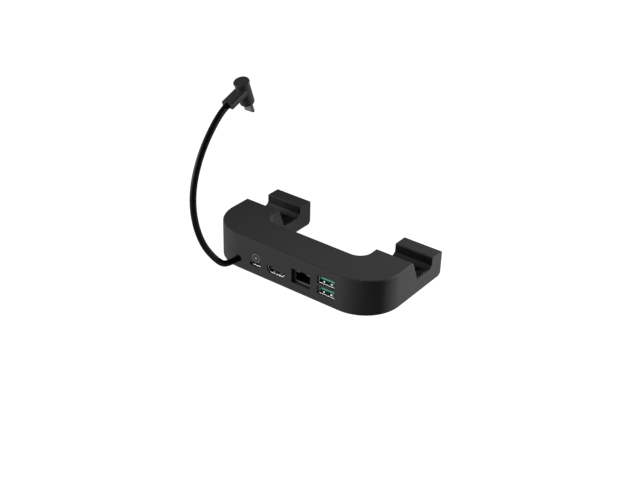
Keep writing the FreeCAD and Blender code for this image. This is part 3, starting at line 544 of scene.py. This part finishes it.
# Two sprung tabs on the floor of each data mouth hold the plug. Each is cut free from the steel shell on
# three sides and pressed up in a low hump. The line is the hump's top, as places inwards and upwards.
TAB_LINE = (
    (0.0010, 0.0), (0.00122, 0.0005), (0.00150, 0.0010), (0.0019, 0.00122),
    (0.0025, 0.0012), (0.0034, 0.0009), (0.0045, 0.00045), (0.0056, 0.00005),
)
TAB_THICKNESS = 0.0002
TAB_WIDTH = 0.0012
TAB_OFF_MIDDLE = 0.0030
TAB_FOLD = math.radians(40)
DATA_MIDDLE, DATA_FRONT = 0.0329, -0.0397
DATA_FLOORS = (0.00745, 0.01555)


def four_tabs():
    """Four bent strips, a pair for each floor. Each is one section, closed across its width."""
    form = bmesh.new()
    section = list(TAB_LINE) + [(y, z - TAB_THICKNESS) for y, z in reversed(TAB_LINE)]
    for floor_z in DATA_FLOORS:
        for off in (-TAB_OFF_MIDDLE, TAB_OFF_MIDDLE):
            sides = (DATA_MIDDLE + off - TAB_WIDTH / 2, DATA_MIDDLE + off + TAB_WIDTH / 2)
            left, right = [
                [form.verts.new((x, DATA_FRONT + y, floor_z + z)) for y, z in section] for x in sides
            ]
            form.faces.new(left)
            form.faces.new(right)
            for i in range(len(section)):
                form.faces.new((left[i - 1], left[i], right[i], right[i - 1]))
    return form


tabs = linked("data_spring_tabs", mesh_of(four_tabs(), "data_spring_tabs"))
tabs.data.shade_smooth()
tabs.data.set_sharp_from_angle(angle=TAB_FOLD)
tabs.data.materials.append(nickel)
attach(tabs, "root")


# The tongues in the sockets are moulded in glass-filled nylon, which keeps its shape while the sockets are
# soldered. The data tongues are tapered at the front, so that a plug finds its way over and under them.
FINE_EDGE = 0.0001
TONGUE_LEAD_IN = 0.0006
GLASS_FIBRE = 0.0003


def filled_polymer(name, colour, roughness):
    """Glass-filled polymer: fairly dull, with the ends of short fibres showing as fine specks."""
    material, tree, skin, place = new_finish(name, {
        "IOR": 1.55, "Specular IOR Level": 0.35, "Roughness": roughness,
    })
    specks = add_node(tree, "ShaderNodeTexNoise", {}, {
        "Vector": place, "Scale": 1 / GLASS_FIBRE, "Detail": 3.0,
    })
    tint = add_node(tree, "ShaderNodeMix", {"data_type": "RGBA"}, {
        "Factor": specks.outputs[0], "A": linear(colour, 0.9), "B": linear(colour, 1.1),
    })
    tree.links.new(tint.outputs[2], skin.inputs["Base Color"])
    return material


def taper(piece):
    """Cuts back the upper and lower edges of a tongue's front."""
    form = bmesh.new()
    form.from_mesh(piece.data)
    rim = [e for e in front_edges(form) if abs(e.verts[0].co.z - e.verts[1].co.z) < WELD]
    bmesh.ops.bevel(form, geom=rim, offset=TONGUE_LEAD_IN, segments=1, affect="EDGES")
    form.to_mesh(piece.data)
    form.free()


black_nylon = filled_polymer("black_filled_nylon", colour="#121212", roughness=0.5)
grey_nylon = filled_polymer("grey_filled_nylon", colour="#3c3c3b", roughness=0.5)
data_nylon = filled_polymer("blue_green_filled_nylon", colour="#55b8a2", roughness=0.4)
softened("power_socket_tongue", "power_tongue", FINE_EDGE, black_nylon)
softened("video_socket_tongue", "video_tongue", FINE_EDGE, grey_nylon)
for level in ("lower", "upper"):
    taper(softened("data_tongue_" + level, level + "_data_tongue", FINE_EDGE, data_nylon))


# The network jack is one block of glass-filled PBT, pressed up to the back of its hole in the port face.
# The block is black. Its face is painted a lighter grey, as painted light, because the side of its hole
# shades it; so the mouth stands out.
JACK_FACE_DEPTH = 1e-5

# The face's grey is painted light: the face lies in the shade of its hole, and the rest of the block is
# black.
pbt_face_painted_light = filled_polymer("pbt_face_painted_light", colour="#5e5e5d", roughness=0.5)
black_pbt = filled_polymer("black_filled_pbt", colour="#232420", roughness=0.5)
jack = softened("network_jack_body", "jack_body", FINE_EDGE, pbt_face_painted_light)
jack.data.materials.append(black_pbt)
jack_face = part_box("network_jack_body")[0][1]
for polygon in jack.data.polygons:
    polygon.material_index = 0 if polygon.center.y < jack_face + JACK_FACE_DEPTH else 1


# The contacts of the jack and of the data tongues are stamped from bronze strip. They are plated with
# gold where the plug's contacts touch them.
GOLD_WEAR = 0.0008


def hard_gold(name, colour, worn):
    """Hard gold plate: a warm, soft mirror, thinner and greyer where plugs have rubbed it."""
    material, tree, skin, place = new_finish(name, {"Metallic": 1.0, "Roughness": 0.28})
    wear = add_node(tree, "ShaderNodeTexNoise", {}, {
        "Vector": place, "Scale": 1 / GOLD_WEAR, "Detail": 3.0,
    })
    tint = add_node(tree, "ShaderNodeMix", {"data_type": "RGBA"}, {
        "Factor": wear.outputs[0], "A": linear(colour), "B": linear(worn),
    })
    tree.links.new(tint.outputs[2], skin.inputs["Base Color"])
    return material


def coated(node, material):
    """A solid that is shown as it is, in its material."""
    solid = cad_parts[node]
    solid.material_slots[0].material = material
    return solid


coated("network_jack_contacts", hard_gold("gold_over_nickel", colour="#77746a", worn="#69645a"))
# The data contacts' gold is painted darker than the gold on the strip: painted shade, as they lie on the
# tongues' undersides.
coated("data_contacts", hard_gold("gold_plate_painted_shade", colour="#8a7440", worn="#6c6040"))


# The tongues of the video and power sockets carry rows of flat contacts, stamped side by side from one
# strip and moulded in, a little proud of the polymer. Each row is centred over the start of its tongue.
VIDEO_NOSE, VIDEO_TONGUE = Vector((-0.0096, -0.0391, 0.0102)), 0.0015
VIDEO_COUNTS = (10, 9)
VIDEO_SIZES = {"pitch": 0.0010, "width": 0.00045, "length": 0.0062}
POWER_NOSE, POWER_TONGUE = Vector((-0.0277, -0.0385, 0.0087)), 0.0007
POWER_COUNTS = (12, 12)
POWER_SIZES = {"pitch": 0.0005, "width": 0.00025, "length": 0.0036}
CONTACT_STRIP = 0.0002
CONTACT_PROUD = 0.00007
CONTACT_SETBACK = 0.0005
CONTACT_CORNER = 0.3


def contact_rule():
    """The rule for a row: one contact with softened edges, repeated across at the pitch."""
    tree = bpy.data.node_groups.new("contact_rule", "GeometryNodeTree")
    for name, kind in (
        ("Count", "NodeSocketInt"), ("Pitch", "NodeSocketFloat"), ("Width", "NodeSocketFloat"),
        ("Thickness", "NodeSocketFloat"), ("Length", "NodeSocketFloat"), ("Material", "NodeSocketMaterial"),
    ):
        tree.interface.new_socket(name, in_out="INPUT", socket_type=kind)
    tree.interface.new_socket("Row", in_out="OUTPUT", socket_type="NodeSocketGeometry")
    given = add_node(tree, "NodeGroupInput").outputs
    across = add_node(tree, "ShaderNodeCombineXYZ", {}, {"X": given["Pitch"]})
    along = add_node(tree, "ShaderNodeCombineXYZ", {}, {"Y": given["Length"]})
    outline = add_node(tree, "GeometryNodeCurvePrimitiveQuadrilateral", {}, {
        "Width": given["Width"], "Height": given["Thickness"],
    })
    softer = add_node(tree, "ShaderNodeMath", {"operation": "MULTIPLY"}, {
        0: given["Thickness"], 1: CONTACT_CORNER,
    })
    section = add_node(tree, "GeometryNodeFilletCurve", {"mode": "POLY"}, {
        "Curve": outline.outputs[0], "Count": 2, "Radius": softer.outputs[0],
    })
    run = add_node(tree, "GeometryNodeCurvePrimitiveLine", {}, {"End": along.outputs[0]})
    contact = add_node(tree, "GeometryNodeCurveToMesh", {}, {
        "Curve": run.outputs[0], "Profile Curve": section.outputs[0], "Fill Caps": True,
    })
    gaps = add_node(tree, "ShaderNodeMath", {"operation": "SUBTRACT"}, {0: given["Count"], 1: 1.0})
    span = add_node(tree, "ShaderNodeMath", {"operation": "MULTIPLY"}, {
        0: gaps.outputs[0], 1: given["Pitch"],
    })
    half = add_node(tree, "ShaderNodeMath", {"operation": "MULTIPLY"}, {0: span.outputs[0], 1: -0.5})
    first = add_node(tree, "ShaderNodeCombineXYZ", {}, {"X": half.outputs[0]})
    places = add_node(tree, "GeometryNodeMeshLine", {}, {
        "Count": given["Count"], "Start Location": first.outputs[0], "Offset": across.outputs[0],
    })
    row = add_node(tree, "GeometryNodeInstanceOnPoints", {}, {
        "Points": places.outputs[0], "Instance": contact.outputs[0],
    })
    real = add_node(tree, "GeometryNodeRealizeInstances", {}, {"Geometry": row.outputs[0]})
    plated = add_node(tree, "GeometryNodeSetMaterial", {}, {
        "Geometry": real.outputs[0], "Material": given["Material"],
    })
    add_node(tree, "NodeGroupOutput", {}, {"Row": plated.outputs[0]})
    return tree


def contact_row(name, rule, nose, level, **sizes):
    """One row of contacts, level above the middle of the tongue that has its nose there."""
    maker = linked(name + "_maker", bpy.data.meshes.new(name + "_maker"))
    repeat = maker.modifiers.new("contact_rule", "NODES")
    repeat.node_group = rule
    for item in rule.interface.items_tree:
        if item.in_out == "INPUT":
            repeat[item.identifier] = sizes[item.name.lower()]
    ready = maker.evaluated_get(bpy.context.evaluated_depsgraph_get())
    mesh = bpy.data.meshes.new_from_object(ready)
    mesh.name = name
    mesh.transform(Matrix.Translation(nose + Vector((0, CONTACT_SETBACK, level))))
    bpy.data.objects.remove(maker)
    piece = linked(name, mesh)
    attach(piece, "root")


rule = contact_rule()
strip_gold = hard_gold("hard_gold_on_strip", colour="#c9a85c", worn="#a58a4e")
for name, nose, tongue, counts, sizes in (
    ("video_contacts", VIDEO_NOSE, VIDEO_TONGUE, VIDEO_COUNTS, VIDEO_SIZES),
    ("power_contacts", POWER_NOSE, POWER_TONGUE, POWER_COUNTS, POWER_SIZES),
):
    level = tongue / 2 + CONTACT_PROUD - CONTACT_STRIP / 2
    for row, side, count in (("_upper", 1, counts[0]), ("_lower", -1, counts[1])):
        contact_row(name + row, rule, nose, side * level, count=count, thickness=CONTACT_STRIP,
                    material=strip_gold, **sizes)


# The grommet is the lead's strain relief. It is moulded on the lead in soft, dull black elastomer, and
# the cover's fork holds it in the port wall.
grommet_elastomer = silicone_rubber("moulded_elastomer", colour="#131313", roughness=0.55)
softened("cable_grommet", "strain_relief", FINE_EDGE, grommet_elastomer)


# The plug's grip is moulded over the lead's end in a smooth, satin elastomer. Its steel tip is a drawn
# tube, plated with satin nickel. It goes with the lead, which has one end in the dock and one here.
GRIP_GRAIN = 0.0002

grip_elastomer = grained_abs("satin_elastomer_grip", colour="#3f3f3f", roughness=0.42, grain=GRIP_GRAIN)
tip_nickel = bright_nickel("satin_nickel_tip", colour="#989896", roughness=0.6)
grip = softened("plug_overmould", "plug_grip", FINE_EDGE, grip_elastomer)
tip = softened("plug_shell", "plug_tip", FINE_EDGE, tip_nickel)
insulator = coated("plug_insulator", black_nylon)


# The mainboard lies inside the closed housing, with its chips, which are moulded in black epoxy, and a
# coil in pressed ferrite. All are soldered to it, as are the four cores of the lead.
TRACK_PITCH = 0.004


def solder_mask():
    """A black lacquer over copper tracks, which show as a faint grid."""
    material, tree, skin, place = new_finish("black_solder_mask", {"Roughness": 0.35, "IOR": 1.5})
    tracks = add_node(tree, "ShaderNodeTexBrick", {"offset": 0.5}, {
        "Vector": place, "Scale": 1 / TRACK_PITCH, "Mortar Size": 0.03,
        "Color1": linear("#0b1410"), "Color2": linear("#0e1a14"), "Mortar": linear("#16281f"),
    })
    tree.links.new(tracks.outputs[0], skin.inputs["Base Color"])
    return material


def core_jackets():
    """PVC core jackets: red, white, green and black from one side to the other, smooth and bright."""
    material, tree, skin, place = new_finish("coloured_pvc_jackets", {"Roughness": 0.4})
    across = add_node(tree, "ShaderNodeSeparateXYZ", {}, {0: place})
    low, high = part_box("lead_wires")
    share = add_node(tree, "ShaderNodeMapRange", {}, {
        "Value": across.outputs[0], "From Min": low[0], "From Max": high[0],
    })
    ramp = add_node(tree, "ShaderNodeValToRGB", {}, {0: share.outputs[0]})
    colours = ramp.color_ramp
    colours.interpolation = "CONSTANT"
    colours.elements[0].color = linear("#a3231c")
    colours.elements[1].position = 0.25
    colours.elements[1].color = linear("#dcdcd8")
    for start, colour in ((0.5, "#1f7a3c"), (0.75, "#141414")):
        colours.elements.new(start).color = linear(colour)
    tree.links.new(ramp.outputs[0], skin.inputs["Base Color"])
    return material


coated("mainboard", solder_mask())
coated("lead_wires", core_jackets())
chip_epoxy = filled_polymer("chip_epoxy", colour="#161617", roughness=0.45)
for chip in ("power_chip", "hub_chip", "video_chip", "memory_chip"):
    coated(chip, chip_epoxy)
coated("power_coil", filled_polymer("pressed_ferrite", colour="#3f3f40", roughness=0.6))


# The screws are cold-headed from steel wire and plated with dark zinc, which has a soft grey shine. Six
# hold the cover and four the board.
dark_zinc = bright_nickel("dark_zinc_plate", colour="#6b6c70", roughness=0.4)
softened("cover_screws", "cover_screw_set", SHELL_EDGE, dark_zinc)
softened("board_screws", "board_screw_set", SHELL_EDGE, dark_zinc)


low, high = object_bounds()
sizes = {"cad": [list(corner) for corner in cad_bounds], "visual": [list(low), list(high)]}
